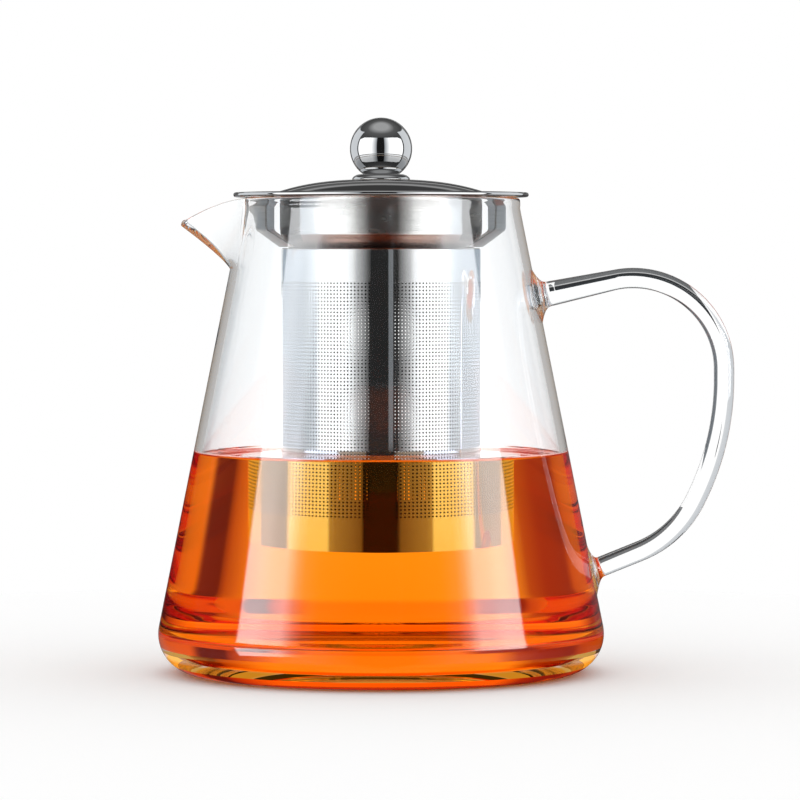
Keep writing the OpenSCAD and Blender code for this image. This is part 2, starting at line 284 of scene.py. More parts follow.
def outer_point(degrees, t):
    """Point of the outer wall between the spout's root height (t = 0) and the mouth's edge (t = 1)."""
    lip = lip_radius(degrees)
    out = (lip - MOUTH_RADIUS) / (SPOUT_TIP - MOUTH_RADIUS)
    top = wall_top[1] - SPOUT_DROP * max(0.0, out) ** 1.5
    z = SPOUT_ROOT_Z + (top - SPOUT_ROOT_Z) * t
    up = wall_top[1] - BEAD_HEIGHT
    bead = BEAD_SWELL * max(0.0, min(1.0, (t * (wall_top[1] - SPOUT_ROOT_Z) - (up - SPOUT_ROOT_Z)) / BEAD_HEIGHT))
    radius = wall_radius(SPOUT_ROOT_Z + (wall_top[1] - SPOUT_ROOT_Z) * t) + (lip - MOUTH_RADIUS) * t ** 1.15
    radius += math.sin(math.pi / 2 * bead / BEAD_SWELL) * BEAD_SWELL * (1 - min(1.0, out * 2))
    c, s = turn(180 + degrees, radius)
    return Vector((c, s, z))


def column_angles():
    """Angles from the spout's middle, close together across the spout."""
    fine = [i * 0.5 for i in range(-60, 61)]
    coarse = [30 + 300 * i / 150 for i in range(1, 150)]
    return fine + coarse


def make_glass():
    angles = column_angles()
    count = len(angles)
    steps = 28
    lower = arc(foot_centre, FOOT_ROUND, -90, WALL_LEAN, 28)
    outside = [(0.0, FOOT_HOLLOW)] + [
        (foot_centre[0] * u, FOOT_HOLLOW * (1 - (u / HOLLOW_SHARE) ** 4) if u < HOLLOW_SHARE else 0.0)
        for u in (0.15, 0.3, 0.45, 0.6, 0.7, 0.78, 0.84, 0.88, 0.92, 0.96)]
    outside += lower
    for i in range(1, 24):
        z = lower[-1][1] + (SPOUT_ROOT_Z - lower[-1][1]) * i / 24
        outside.append((wall_radius(z), z))

    verts, rows = [], []

    def add_row(points):
        rows.append(list(range(len(verts), len(verts) + len(points))))
        verts.extend(points)

    def ring(r, z):
        if r < 1e-6:
            rows.append([len(verts)] * count)
            verts.append(Vector((0, 0, z)))
            return
        add_row([Vector((*turn(180 + a, r), z)) for a in angles])

    for r, z in outside:
        ring(r, z)

    # Upper wall with the lip, outside and then inside, one wall thickness apart
    grid = [[outer_point(a, i / steps) for a in angles] for i in range(steps + 1)]

    def normal(i, j):
        before, after = grid[max(i - 1, 0)][j], grid[min(i + 1, steps)][j]
        left, right = grid[i][j - 1], grid[i][(j + 1) % count]
        return (right - left).cross(after - before).normalized()

    normals = [[normal(i, j) for j in range(count)] for i in range(steps + 1)]
    if normals[0][0].dot(Vector((*turn(180 + angles[0]), 0))) < 0:
        normals = [[-n for n in row] for row in normals]
    for i in range(steps + 1):
        add_row(grid[i])
    # The rounded edge rises half a wall above the last row, across from the outside to the inside
    half = WALL / 2
    for k in range(1, 12):
        angle = math.pi * k / 12
        row = []
        for j in range(count):
            n = normals[steps][j]
            up = (grid[steps][j] - grid[steps - 1][j]).normalized()
            centre = grid[steps][j] - n * half
            row.append(centre + n * half * math.cos(angle) + up * MOUTH_ROUND * math.sin(angle))
        add_row(row)
    for i in range(steps, -1, -1):
        add_row([grid[i][j] - normals[i][j] * WALL for j in range(count)])
    corner = cavity_corner(INNER_ROUND, WALL_LEAN, -90, 20)
    top_z = SPOUT_ROOT_Z - math.sin(math.radians(WALL_LEAN)) * WALL
    wet_z = TEA_LEVEL + TEA_CLIMB
    for start, end in ((top_z, wet_z), (wet_z, corner[0][1])):
        for i in range(1 if start == top_z else 0, 14):
            z = start + (end - start) * i / 14
            ring(wall_radius(z) - CAVITY_WALL, z)
    for r, z in corner:
        ring(r, z)
    for u in (0.75, 0.5, 0.25, 0.0):
        ring(corner[-1][0] * u, FLOOR)

    piece = mesh_piece("teapot_glass", verts, skin(rows), sharp=None)
    # Faces that the tea wets bend light only as far as glass against water does
    for polygon in piece.data.polygons:
        radius, z = radius_and_height(polygon)
        if radius < wall_radius(z) - WALL * 0.6 and FLOOR * 0.6 < z < wet_z:
            polygon.material_index = 2 if z < FLOOR + FLOOR_LIGHT else 1
    return piece


# ---- Handle: a bent rod whose ends flare out on the wall ----
def way_to_wall(point, slope):
    a = math.radians(slope)
    return (point[0] - wall_radius(point[1])) / (math.cos(a) + WALL_SLOPE * math.sin(a))


def handle_line():
    """Points of the rod's centre line in the XZ plane, from the upper weld to the lower one."""
    top_centre = (HANDLE_REACH - TOP_BEND, HANDLE_TOP - TOP_BEND)
    side_centre = (HANDLE_REACH - SIDE_BEND, top_centre[1] - SIDE_STRAIGHT)
    c, s = turn(-SIDE_TURN)
    side_end = (side_centre[0] + SIDE_BEND * c, side_centre[1] + SIDE_BEND * s)
    low_centre = (side_end[0] - LOW_BEND * c, side_end[1] - LOW_BEND * s)
    top = arc(top_centre, TOP_BEND, 90 + UPPER_SLOPE, 0, 40)
    side = arc(side_centre, SIDE_BEND, 0, -SIDE_TURN, 30)
    low = arc(low_centre, LOW_BEND, -SIDE_TURN, -(90 - LOWER_SLOPE), 34)
    upper_way = way_to_wall(top[0], UPPER_SLOPE)
    lower_way = way_to_wall(low[-1], LOWER_SLOPE)
    c, s = turn(UPPER_SLOPE)
    upper_foot = (top[0][0] - upper_way * c, top[0][1] - upper_way * s)
    upper = [(upper_foot[0] + upper_way * c * i / 26, upper_foot[1] + upper_way * s * i / 26)
             for i in range(26)]
    c, s = turn(LOWER_SLOPE)
    lower = [(low[-1][0] - lower_way * c * i / 8, low[-1][1] - lower_way * s * i / 8)
             for i in range(1, 9)]
    return upper + top + side[1:] + low[1:] + lower, upper_way, lower_way


def weld_radius(distance, rod, weld):
    """Radius of the glass at a distance from the wall, flared in a fillet on the weld."""
    rise = weld * 0.85
    u = min(1.0, max(0.0, distance / rise))
    return rod + (GATHER - rod) * (1 - u) ** 2.4


def resample(points, distances):
    """Stations at distances(length) along a line: point, direction, distance and the line's length."""
    lengths = [0.0]
    for a, b in zip(points, points[1:]):
        lengths.append(lengths[-1] + math.dist(a, b))
    result, k = [], 0
    for d in distances(lengths[-1]):
        while k < len(points) - 2 and lengths[k + 1] < d:
            k += 1
        share = (d - lengths[k]) / (lengths[k + 1] - lengths[k])
        a, b = points[k], points[k + 1]
        tangent = Vector((b[0] - a[0], 0, b[1] - a[1])).normalized()
        result.append((Vector((a[0] + (b[0] - a[0]) * share, 0, a[1] + (b[1] - a[1]) * share)),
                       tangent, d, lengths[-1]))
    return result


def make_handle():
    line, upper_way, lower_way = handle_line()

    def distances(total):
        near = [0.0, 0.15, 0.35, 0.6, 0.9, 1.25, 1.65, 2.1, 2.6, 3.1, 3.6, 4.2, 5.0]
        count = 130
        middle = [near[-1] + (total - 2 * near[-1]) * i / count for i in range(1, count)]
        return near + middle + [total - d for d in reversed(near)]

    stations = resample(line, distances)
    around = 48
    verts, rows = [], []
    for i, (point, tangent, d, total) in enumerate(stations):
        if 0 < i < len(stations) - 1:
            tangent = (stations[i + 1][0] - stations[i - 1][0]).normalized()
        side = Vector((0, 1, 0))
        up = tangent.cross(side).normalized()
        from_end = total - d
        taper = min(1.0, max(0.0, (d - UPPER_WELD) / (upper_way - UPPER_WELD)))
        rod = ROD_ROOT + (ROD - ROD_ROOT) * taper
        if d < total / 2:
            radius = weld_radius(d, rod, UPPER_WELD)
        else:
            radius = weld_radius(from_end, ROD, LOWER_WELD)
        row = []
        for k in range(around):
            c, s = turn(360 * k / around, radius)
            p = point + side * c + up * s
            # Near its ends the glass follows the wall instead of a flat section
            lead = max(0.0, 1 - min(d, from_end) / ROD_FITTED)
            if lead > 0:
                off = math.hypot(p.x, p.y) - wall_radius(p.z)
                plane = math.hypot(point.x, point.y) - wall_radius(point.z)
                out = Vector((p.x, p.y, 0)).normalized()
                p = p - out * (off - plane) * lead
            row.append(p)
        rows.append(row)

    def sink(row):
        return [p - Vector((p.x, p.y, 0)).normalized() * ROD_SUNK for p in row]

    rows = [sink(rows[0])] + rows + [sink(rows[-1])]
    for row in rows:
        verts.extend(row)
    faces = []
    for i in range(len(rows) - 1):
        for k in range(around):
            n = (k + 1) % around
            faces.append((i * around + k, i * around + n, (i + 1) * around + n, (i + 1) * around + k))
    for row_start, row in ((0, rows[0]), ((len(rows) - 1) * around, rows[-1])):
        centre = sum(row, Vector()) / around
        out = Vector((centre.x, centre.y, 0)).normalized()
        verts.append(out * (wall_radius(centre.z) - ROD_SUNK) + Vector((0, 0, centre.z)))
        for k in range(around):
            faces.append((row_start + k, row_start + (k + 1) % around, len(verts) - 1))
    return mesh_piece("handle_glass", verts, faces, sharp=None)


# ---- Tea, up to its level in the glass, with a meniscus against the wall ----
def make_tea():
    bite = CAVITY_WALL + TEA_GAP
    corner = cavity_corner(INNER_ROUND - TEA_GAP, -90, WALL_LEAN, 24)
    profile = [(0.0, FLOOR + TEA_GAP)]
    profile += [(corner[0][0] * u, FLOOR + TEA_GAP) for u in (0.3, 0.6, 0.85)]
    profile += corner
    wall_z = TEA_LEVEL + TEA_CLIMB
    for i in range(1, 13):
        z = corner[-1][1] + (wall_z - corner[-1][1]) * i / 12
        profile.append((wall_radius(z) - bite, z))
    edge = wall_radius(TEA_LEVEL) - CAVITY_WALL
    for i in range(1, 15):
        away = 0.35 * i
        profile.append((edge - away - TEA_GAP, TEA_LEVEL + TEA_CLIMB * math.exp(-away / TEA_CLIMB_WIDTH)))
    for u in (0.85, 0.7, 0.6, 0.4, 0.2, 0.0):
        profile.append((edge * u, TEA_LEVEL))
    tea = mesh_piece("tea", *revolve(profile, 224, closed=False), sharp=None)
    wet = tea.data.attributes.new("wet_side", "FLOAT", "FACE")
    for polygon in tea.data.polygons:
        radius, z = radius_and_height(polygon)
        against_glass = z < FLOOR + 1 or radius > wall_radius(z) - bite - 0.2
        wet.data[polygon.index].value = 1.0 if against_glass else 0.0
    return tea


# ---- Infuser cup: a rolled sheet with rows of holes and a plain seam at the front ----
def make_cup():
    seam_cells = math.ceil(SEAM_WIDTH / HOLE_PITCH)
    columns = round(2 * math.pi * CUP_RADIUS / HOLE_PITCH)
    cell = 360 / columns
    seam_start = SEAM_AT - cell * seam_cells / 2
    inner = CUP_RADIUS - SHEET
    verts, faces = [], []
    index = {}

    def at(radius, degrees, z):
        key = (round(radius, 4), round(degrees % 360, 4), round(z, 4))
        if key not in index:
            c, s = turn(degrees, radius)
            index[key] = len(verts)
            verts.append((c, s, z))
        return index[key]

    z_rows = [HOLES_TOP - HOLE_PITCH * i for i in range(HOLE_ROWS + 1)]
    corners = ((-0.5, 0.5), (0.5, 0.5), (0.5, -0.5), (-0.5, -0.5))
    for i in range(seam_cells, columns):
        middle = seam_start + cell * i + cell / 2
        for j in range(HOLE_ROWS):
            z_mid = z_rows[j] - HOLE_PITCH / 2
            for radius in (CUP_RADIUS, inner):
                square = [at(radius, middle + c * cell, z_mid + s * HOLE_PITCH) for c, s in corners]
                hole = []
                for k in range(8):
                    c, s = turn(157.5 - 45 * k, HOLE_RADIUS)
                    hole.append(at(radius, middle + c * cell / HOLE_PITCH, z_mid + s))
                for k in range(4):
                    n = (k + 1) % 4
                    faces.append((square[k], hole[2 * k], hole[2 * k + 1]))
                    faces.append((square[k], hole[2 * k + 1], hole[(2 * k + 2) % 8], square[n]))
                if radius == inner:
                    for k in range(8):
                        faces.append((last_hole[k], last_hole[(k + 1) % 8], hole[(k + 1) % 8], hole[k]))
                last_hole = hole

    # Plain bands above and below the holes, and the whole height of the seam
    rounded = 0.5
    above = [HOLES_TOP + (CUP_TOP - rounded - HOLES_TOP) * i / 6 for i in range(7)]
    below = [z_rows[-1] - (z_rows[-1] - CUP_BOTTOM) * i / 6 for i in range(7)]
    for i in range(columns):
        left = seam_start + cell * i
        right = left + cell
        rows = [above, below] if i >= seam_cells else [above, z_rows, below]
        outer = CUP_RADIUS + (SEAM_HEIGHT if i < seam_cells else 0.0)
        for z_list in rows:
            for z0, z1 in zip(z_list, z_list[1:]):
                faces.append((at(outer, left, z0), at(outer, right, z0), at(outer, right, z1), at(outer, left, z1)))
                if i in (0, seam_cells - 1):
                    side = left if i == 0 else right
                    faces.append((at(CUP_RADIUS, side, z0), at(outer, side, z0),
                                  at(outer, side, z1), at(CUP_RADIUS, side, z1)))
                faces.append((at(inner, left, z0), at(inner, right, z0),
                              at(inner, right, z1), at(inner, left, z1)))
        # The rounded shoulder that turns in to the spigot of the collar
        shoulder = [(outer - rounded + c, CUP_TOP - rounded + s)
                    for c, s in (turn(a, rounded) for a in (0, 22.5, 45, 67.5, 90))]
        shoulder += [(SPIGOT_RADIUS + FIT_GAP, CUP_TOP), (SPIGOT_RADIUS + FIT_GAP, CUP_TOP - SHEET),
                     (inner, CUP_TOP - SHEET - 0.001), (inner, above[-1])]
        for (r0, z0), (r1, z1) in zip(shoulder, shoulder[1:]):
            faces.append((at(r0, left, z0), at(r0, right, z0), at(r1, right, z1), at(r1, left, z1)))
        faces.append((at(outer, left, CUP_BOTTOM), at(outer, right, CUP_BOTTOM),
                      at(inner, right, CUP_BOTTOM), at(inner, left, CUP_BOTTOM)))
    clean = [[v for k, v in enumerate(f) if v != f[k - 1]] for f in faces]
    piece = mesh_piece("infuser_cup_sheet", verts, [f for f in clean if len(f) > 2], sharp=35.0)
    # Inner faces get the steel with painted shade, and the hole walls the darker steel with painted shade
    for polygon in piece.data.polygons:
        radius, _ = radius_and_height(polygon)
        polygon.material_index = 0 if radius > CUP_RADIUS - 0.1 else 1 if radius < inner + 0.1 else 2
    return piece


def make_bottom():
    plug, edge = PLUG_RADIUS, PLUG_TOP
    profile = [(0.0, CUP_BOTTOM + 0.1), (plug - 1.2, CUP_BOTTOM + 0.1)]
    profile += arc((plug - 0.8, CUP_BOTTOM + 0.8), 0.8, -90, 0, 6)
    profile += [(plug, edge - 0.2), (plug - 0.15, edge), (plug - SHEET, edge - 0.1)]
    profile += [(plug - SHEET, CUP_BOTTOM + 0.9), (plug - SHEET - 0.4, CUP_BOTTOM + SHEET + 0.1),
                (0.0, CUP_BOTTOM + SHEET + 0.1)]
    return mesh_piece("infuser_floor", *revolve(profile, 160, closed=False))


def make_collar():
    """The brushed band, with a fine step near each edge, and the taper down to the spigot."""
    r, inner = COLLAR_RADIUS, COLLAR_RADIUS - SHEET
    z_top, z_low = RIM_BOTTOM, COLLAR_BOTTOM
    stepped, spigot = r - COLLAR_STEP, SPIGOT_RADIUS
    profile = [(inner, z_top), (stepped, z_top), (stepped, z_top - 1.3)]
    profile += [(r, z_top - 1.7), (r, z_low + 1.6), (stepped, z_low + 1.2), (stepped, z_low + 0.35)]
    profile += [(r - 0.3, z_low - 0.05), (spigot + 0.2, CUP_TOP + 0.2), (spigot, CUP_TOP - 0.1)]
    profile += [(spigot, CUP_TOP - SPIGOT_DEPTH), (spigot - SHEET, CUP_TOP - SPIGOT_DEPTH)]
    profile += [(spigot - SHEET, CUP_TOP + SHEET / 2), (inner, z_low + SHEET / 2)]
    piece = mesh_piece("infuser_collar_band", *revolve(profile, 192), sharp=25.0)
    # The taper under the band gets the brushed steel with the brown painted reflection
    for polygon in piece.data.polygons:
        polygon.material_index = 1 if polygon.center.z / MM < z_low - 0.2 else 0
    return piece


def make_rim():
    """A flat ring with a rolled bead, whose underside lies in shade."""
    outer, bead, z = RIM_RADIUS, RIM_BEAD, RIM_BOTTOM
    inner = COLLAR_RADIUS - SHEET
    profile = [(inner, z), (outer - 2.4 * bead, z)]
    profile += arc((outer - bead, z + bead), bead, -120, 130, 20)
    profile += [(outer - 2.6 * bead, z + SHEET), (inner, z + SHEET)]
    piece = mesh_piece("infuser_rim_ring", *revolve(profile, 224))
    # The underside of the bead gets the steel with painted shade
    for polygon in piece.data.polygons:
        radius, height = radius_and_height(polygon)
        polygon.material_index = 1 if height < z + 0.4 and radius > outer - 2 * bead else 0
    return piece


# ---- Springs: sheet strips that bulge from under the rim towards the neck ----
def make_spring(name, side):
    r, top_r = SPRING_RADIUS, SPRING_TOP_RADIUS
    end = (SPRING_END_RADIUS + SPRING_THICK, CUP_TOP + SHEET / 2)
    line = [(top_r - SPRING_TAB, RIM_BOTTOM - 0.02), (top_r - 0.4, RIM_BOTTOM - 0.02), (top_r, RIM_BOTTOM - 0.35)]
    line += [(r - 0.12, SPRING_CREASE_Z + 0.25), (r, SPRING_CREASE_Z - 0.2), (r, SPRING_CREASE_Z - 2.5)]
    line += [(r, SPRING_CORNER_Z + SPRING_ROUND + 1)]
    line += arc((r - SPRING_ROUND, SPRING_CORNER_Z + SPRING_ROUND), SPRING_ROUND, 0, -55, 8)
    line += [((line[-1][0] + end[0]) / 2, (line[-1][1] + end[1]) / 2), (end[0], end[1] + 0.1)]
    across, rows = SPRING_ACROSS, len(line)
    verts, faces = [], []
    for layer in (0.0, SPRING_THICK):
        for r, z in line:
            for k in range(across):
                y = -SPRING_HALF_WIDTH + 2 * SPRING_HALF_WIDTH * k / (across - 1)
                x = math.sqrt(max((r - layer) ** 2 - y ** 2, 0.0))
                verts.append((side * x, y, z))
    size = rows * across
    for i in range(rows - 1):
        for k in range(across - 1):
            a = i * across + k
            faces.append((a, a + 1, a + across + 1, a + across))
            faces.append((size + a, size + a + 1, size + a + across + 1, size + a + across))
    for i in range(rows - 1):
        for k in (0, across - 1):
            a = i * across + k
            faces.append((a, a + across, size + a + across, size + a))
    for k in range(across - 1):
        for i in (0, rows - 1):
            a = i * across + k
            faces.append((a, a + 1, size + a + 1, size + a))
    return mesh_piece(name, verts, faces, sharp=20.0)


# ---- Lid and knob ----
def dome_height(r):
    return LID_TOP + DOME_RISE * (1 - (r / DOME_EDGE) ** DOME_POWER)


def make_lid():
    steps, edge = 110, SHEET / 2
    radii = [SCREW_HOLE + (DOME_EDGE - SCREW_HOLE) * i / steps for i in range(steps + 1)]
    top = [(r, dome_height(r)) for r in radii]
    profile = top + [(LID_RADIUS - 0.6, LID_TOP - 0.04)]
    profile += arc((LID_RADIUS - edge, LID_BOTTOM + edge), edge, 80, -90, 8)
    profile += [(r, max(z - SHEET, LID_BOTTOM)) for r, z in reversed(top)]
    return mesh_piece("lid_dome", *revolve(profile, 224))


def make_skirt():
    r, low = SKIRT_RADIUS, SKIRT_LOW
    high = dome_height(r) - SHEET - 0.02
    profile = [(r, low + 0.2), (r, high), (r - SHEET, high + 0.05), (r - SHEET, low + 0.2),
               (r - SHEET / 2, low)]
    return mesh_piece("lid_skirt_band", *revolve(profile, 160))


def make_ball():
    start = -math.degrees(math.acos(BALL_SEAT / BALL_RADIUS))
    hole_top = RING_TOP + SCREW_HOLE_DEPTH
    profile = [(0.0, hole_top), (SCREW_HOLE, hole_top), (SCREW_HOLE, RING_TOP), (BALL_SEAT - 0.2, RING_TOP)]
    profile += arc((0, BALL_CENTRE), BALL_RADIUS, start + 1.2, 90, 72)[:-1]
    profile += [(0.0, BALL_CENTRE + BALL_RADIUS)]
    return mesh_piece("knob_ball_steel", *revolve(profile, 128, closed=False))


def make_ring():
    """A cushion that sits on the dome and is rounded up to the ball."""
    outer = RING_RADIUS
    foot = dome_height(outer) + 0.12
    profile = [(SCREW_HOLE, RING_TOP)]
    profile += [(r, dome_height(r)) for r in (SCREW_HOLE, 3, 4, 5, 6, 7, outer - 0.1)]
    profile += [(outer, foot)]
    for i in range(1, 15):
        c, s = turn(90 * i / 14)
        profile.append((outer - 2.1 * (1 - c) - 0.3 * s, foot + (RING_TOP - foot) * s))
    return mesh_piece("knob_base_ring", *revolve(profile, 128))


def make_screw():
    """Pan head with a round dimple for its cross recess, and the shank up into the ball."""
    head, shank, low, top = SCREW_HEAD, SCREW_SHANK, SCREW_LOW, SCREW_TOP
    head_top = dome_height(head) - SHEET
    profile = [(0.0, low + 0.9), (0.9, low + 0.7), (1.3, low)]
    profile += arc((head - 0.7, low + 0.7), 0.7, -90, 0, 6)
    profile += [(head, head_top - 0.05), (shank, head_top), (shank, top - 0.4),
                (shank - 0.4, top), (0.0, top)]
    return mesh_piece("knob_screw_steel", *revolve(profile, 64, closed=False))


# ---- Materials ----
WHITE = (1.0, 1.0, 1.0)


class Graph:
    """Nodes of a material or of the world; every value may be a number, a tuple or a socket."""

    def __init__(self, tree):
        self.nodes, self.links = tree.nodes, tree.links
        self.nodes.clear()

    def feed(self, socket, value):
        if isinstance(value, bpy.types.NodeSocket):
            self.links.new(value, socket)
        elif socket.type == "RGBA":
            socket.default_value = (*value, 1.0)
        else:
            socket.default_value = value

    def node(self, kind, *values):
        """A new node, whose first inputs take the values."""
        node = self.nodes.new(kind)
        for socket, value in zip(node.inputs, values):
            self.feed(socket, value)
        return node

    def fill(self, node, values):
        for name, value in values.items():
            self.feed(node.inputs[name], value)
        return node

    def place(self):
        return self.node("ShaderNodeTexCoord").outputs["Object"]

    def split(self, vector):
        return self.node("ShaderNodeSeparateXYZ", vector).outputs

    def calc(self, kind, a, b=0.5):
        node = self.node("ShaderNodeMath", a, b)
        node.operation = kind
        return node.outputs["Value"]

    def mix(self, share, a, b, blend="MIX"):
        node = self.node("ShaderNodeMix")
        node.data_type, node.blend_type = "RGBA", blend
        for k, value in ((0, share), (6, a), (7, b)):
            self.feed(node.inputs[k], value)
        return node.outputs[2]

    def noise(self, coords, scale, detail, stretch=(1, 1, 1)):
        mapping = self.fill(self.node("ShaderNodeMapping"), {"Vector": coords, "Scale": stretch})
        noise = self.node("ShaderNodeTexNoise")
        self.fill(noise, {"Vector": mapping.outputs["Vector"], "Scale": scale, "Detail": detail})
        return noise.outputs["Fac"]

    def span(self, value, low, high, start=0.3, end=0.7):
        """value between start and end becomes low to high."""
        ranged = self.node("ShaderNodeMapRange")
        self.fill(ranged, {"Value": value, "From Min": start, "From Max": end, "To Min": low, "To Max": high})
        return ranged.outputs["Result"]

    def bump(self, height, strength, distance):
        node = self.fill(self.node("ShaderNodeBump"), {"Strength": strength, "Distance": distance, "Height": height})
        return node.outputs["Normal"]

    def ramp(self, value, stops):
        node = self.node("ShaderNodeValToRGB", value)
        elements = node.color_ramp.elements
        while len(elements) < len(stops):
            elements.new(0.5)
        for element, (place, colour) in zip(elements, sorted(stops)):
            element.position = place
            element.color = (*colour, 1.0)
        return node.outputs["Color"]


def new_material(name):
    material = bpy.data.materials.new(name)
    material.use_nodes = True
    graph = Graph(material.node_tree)
    output, shader = graph.node("ShaderNodeOutputMaterial"), graph.node("ShaderNodeBsdfPrincipled")
    graph.feed(output.inputs["Surface"], shader.outputs["BSDF"])
    return material, graph, shader, output


GLASS_IOR, TEA_IOR = 1.473, 1.333


def glass_material(name, ior):
    """Clear glass, with the amber and red light that the tea sends into its thick foot painted into its colour as a
    painted glow.
    """
    material, graph, shader, _ = new_material(name)
    place = graph.place()
    slow = graph.noise(place, 18.0, 1.0, (1, 1, 0.4))
    clear = graph.ramp(slow, [(0.3, (0.985, 0.997, 1.0)), (0.7, WHITE)])
    # Painted glow: amber low in the foot, red above it and white higher up, standing in for the tea's light
    up = graph.span(graph.split(place)["Z"], 0.0, 1.0, 0.0, 20 * MM)
    amber, red = (1.0, 0.36, 0.02), (0.96, 0.74, 0.7)
    foot = graph.ramp(up, [(0.0, amber), (0.22, amber), (0.27, red), (0.52, red), (0.6, WHITE), (1.0, WHITE)])
    graph.fill(shader, {"Transmission Weight": 1.0, "IOR": ior, "Roughness": 0.0,
                        "Base Color": graph.mix(1.0, clear, foot, "MULTIPLY"),
                        "Normal": graph.bump(slow, 0.25, 0.0004)})
    return material


def tea_material():
    material, graph, shader, output = new_material("amber_tea")
    # Where the tea touches the glass, the wet glass does the bending
    wet = graph.node("ShaderNodeAttribute")
    wet.attribute_name = "wet_side"
    slow = graph.noise(graph.place(), 30.0, 0.0)
    graph.fill(shader, {"Transmission Weight": 1.0, "IOR": TEA_IOR, "Roughness": 0.0, "Base Color": WHITE,
                        "Normal": graph.bump(slow, 0.1, 0.0002)})
    graph.feed(shader.inputs["IOR"], graph.span(wet.outputs["Fac"], TEA_IOR, 1.0, 0.0, 1.0))
    absorb = graph.node("ShaderNodeVolumeAbsorption", (0.995, 0.74, 0.02), 50.0)
    graph.feed(output.inputs["Volume"], absorb.outputs["Volume"])
    return material


def polished_material(name, dark, light, rough=(0.02, 0.05)):
    material, graph, shader, _ = new_material(name)
    place = graph.place()
    cloudy = graph.noise(place, 60.0, 4.0)
    waves = graph.noise(place, 45.0, 1.0, (1, 1, 0.25))
    graph.fill(shader, {"Metallic": 1.0, "Roughness": graph.span(cloudy, *rough),
                        "Base Color": graph.ramp(cloudy, [(0.3, dark), (0.7, light)]),
                        "Normal": graph.bump(waves, 0.15, 0.0002)})
    return material


def brushed_material(name, dark, light):
    """Fine lines that run round the axis, with a sheen stretched across them."""
    material, graph, shader, _ = new_material(name)
    tangent = graph.node("ShaderNodeTangent")
    tangent.direction_type, tangent.axis = "RADIAL", "Z"
    place = graph.place()
    lines = graph.noise(place, 40.0, 5.0, (1, 1, 130))
    patches = graph.noise(place, 90.0, 3.0, (1, 1, 3))
    graph.fill(shader, {"Metallic": 1.0, "Roughness": graph.span(patches, 0.2, 0.28),
                        "Anisotropic": 0.95, "Anisotropic Rotation": 0.25, "Tangent": tangent.outputs["Tangent"],
                        "Base Color": graph.ramp(lines, [(0.3, dark), (0.7, light)]),
                        "Normal": graph.bump(lines, 0.12, 0.00001)})
    return material


def spring_material():
    material, graph, shader, _ = new_material("spring_steel")
    lines = graph.noise(graph.place(), 60.0, 5.0, (1, 1, 40))
    graph.fill(shader, {"Metallic": 1.0, "Roughness": graph.span(lines, 0.28, 0.42),
                        "Base Color": graph.ramp(lines, [(0.3, (0.36, 0.345, 0.32)), (0.7, (0.5, 0.485, 0.46))]),
                        "Normal": graph.bump(lines, 0.2, 0.00003)})
    return material


# ---- Pieces on their bodies ----
glass = glass_material("blown_glass", GLASS_IOR)
wet_glass = glass_material("blown_glass_against_tea", GLASS_IOR / TEA_IOR)
base_glass = glass_material("blown_glass_base_in_tea", 1.02)
tea_look = tea_material()
polished = polished_material("mirror_steel", (0.62, 0.63, 0.64), (0.68, 0.685, 0.69))
# Polished steel darkened with painted shade, for the cup's inner faces
inside = polished_material("mirror_steel_inside_painted_shade", (0.16, 0.16, 0.165), (0.2, 0.2, 0.205))
# Polished steel darkened with painted shade, for the hole walls and the rim's underside
shaded = polished_material("mirror_steel_in_shade", (0.09, 0.075, 0.065), (0.13, 0.11, 0.1))
dome_look = polished_material("satin_steel", (0.36, 0.365, 0.37), (0.41, 0.415, 0.42), (0.03, 0.05))
brushed = brushed_material("brushed_steel", (0.60, 0.60, 0.59), (0.72, 0.72, 0.71))
# Brushed steel coloured with a brown painted reflection of the tea below
taper_painted_reflection = brushed_material("brushed_steel_taper_painted_reflection", (0.22, 0.145, 0.115), (0.36, 0.27, 0.235))
spring_look = spring_material()


def dress(piece, material, body, slot, *nodes):
    for one in material if isinstance(material, tuple) else (material,):
        piece.data.materials.append(one)
    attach(piece, body)
    if nodes:
        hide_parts(*nodes)


dress(make_glass(), (glass, wet_glass, base_glass), "pot", "clear_glass", "glass_body")
dress(make_handle(), glass, "pot", "clear_glass", "handle", "upper_handle_weld", "lower_handle_weld")
dress(make_tea(), tea_look, "pot", None)
dress(make_cup(), (polished, inside, shaded), "infuser", "polished_steel", "infuser_cup")
dress(make_bottom(), polished, "infuser", "polished_steel", "infuser_bottom")
dress(make_collar(), (brushed, taper_painted_reflection), "infuser", "brushed_steel", "infuser_collar")
dress(make_rim(), (polished, shaded), "infuser", "polished_steel", "infuser_rim")
dress(make_spring("spout_spring", -1), spring_look, "infuser", "spring_steel", "spout_side_spring")
dress(make_spring("handle_spring", 1), spring_look, "infuser", "spring_steel", "handle_side_spring")
dress(make_lid(), dome_look, "lid", "polished_steel", "lid_cover")
dress(make_skirt(), brushed, "lid", "brushed_steel", "lid_skirt")
ball, ring, screw = make_ball(), make_ring(), make_screw()
dress(ball, polished, "lid", "polished_steel", "knob_ball")
dress(ring, polished, "lid", "polished_steel", "knob_ring")
dress(screw, brushed, "lid", "brushed_steel", "knob_screw")
ball.visible_glossy = screw.visible_glossy = False   # the dome mirrors no more than the ring


# ---- Studio: a white sweep behind, a softbox on each side of the camera and a dark ceiling ----
FLOOR_RADIUS = 310.0
DIRECT_SHIFT = -1.5        # middle of the dark gap round the camera, as bare steel sees it
SLOT_SHIFT = 3.0           # the same gap's middle as the strainer sees it
SLOT_HALF = 14.5           # half of its width, in degrees
GLOW_FROM = 36.0           # where the diffusers reach their full white
SIDE_TO = 147.0            # where the strips at the sides end
CEILING_FROM = 38.0        # degrees above the horizon
